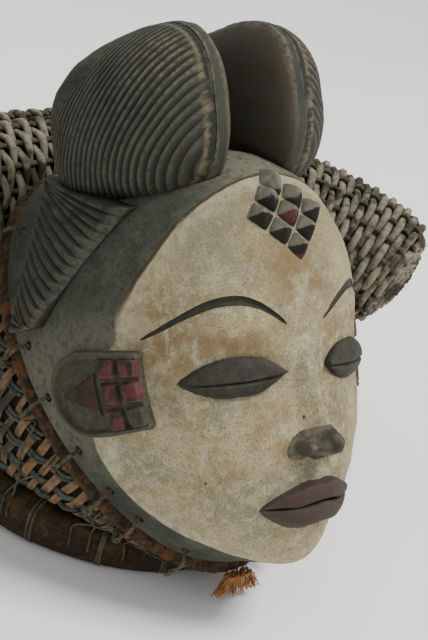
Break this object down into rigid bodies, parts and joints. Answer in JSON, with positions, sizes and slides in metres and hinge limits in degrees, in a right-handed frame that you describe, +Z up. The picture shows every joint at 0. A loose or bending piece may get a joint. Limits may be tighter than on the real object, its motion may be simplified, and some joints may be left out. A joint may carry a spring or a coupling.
{
  "type": "carved mask",
  "caption": "Whitened wooden face mask with a two-lobed grooved coiffure, laced to a plaited cane collar, with a woven cane roll behind it.",
  "frame": {"origin": "on the floor under the middle of the whole object", "axes": "+Z up, +Y from the chin towards the woven roll, +X to the right of the face as one looks at it"},
  "size_m": [0.499, 0.3348, 0.2934],
  "materials": {
    "carved_wood": "worn white and dark pigments on carved wood",
    "bark": "rough dark bark, wrapped",
    "cane": "plaited splints, matt",
    "raffia": "loose dry fibre",
    "wicker": "woven cane, weathered grey",
    "cord": "twisted fibre cord"
  },
  "bodies": {
    "root": {"mask": "carved_wood", "rim_hoop": "bark", "plaited_band": "cane", "bark_collar": "bark", "chin_tuft": "raffia", "wicker_roll": "wicker", "stitch_1": "cord", "stitch_2": "cord", "stitch_3": "cord", "stitch_4": "cord", "stitch_5": "cord", "stitch_6": "cord", "stitch_7": "cord", "stitch_8": "cord", "stitch_9": "cord", "stitch_10": "cord", "stitch_11": "cord", "stitch_12": "cord", "stitch_13": "cord", "stitch_14": "cord"}
  },
  "joints": []
}
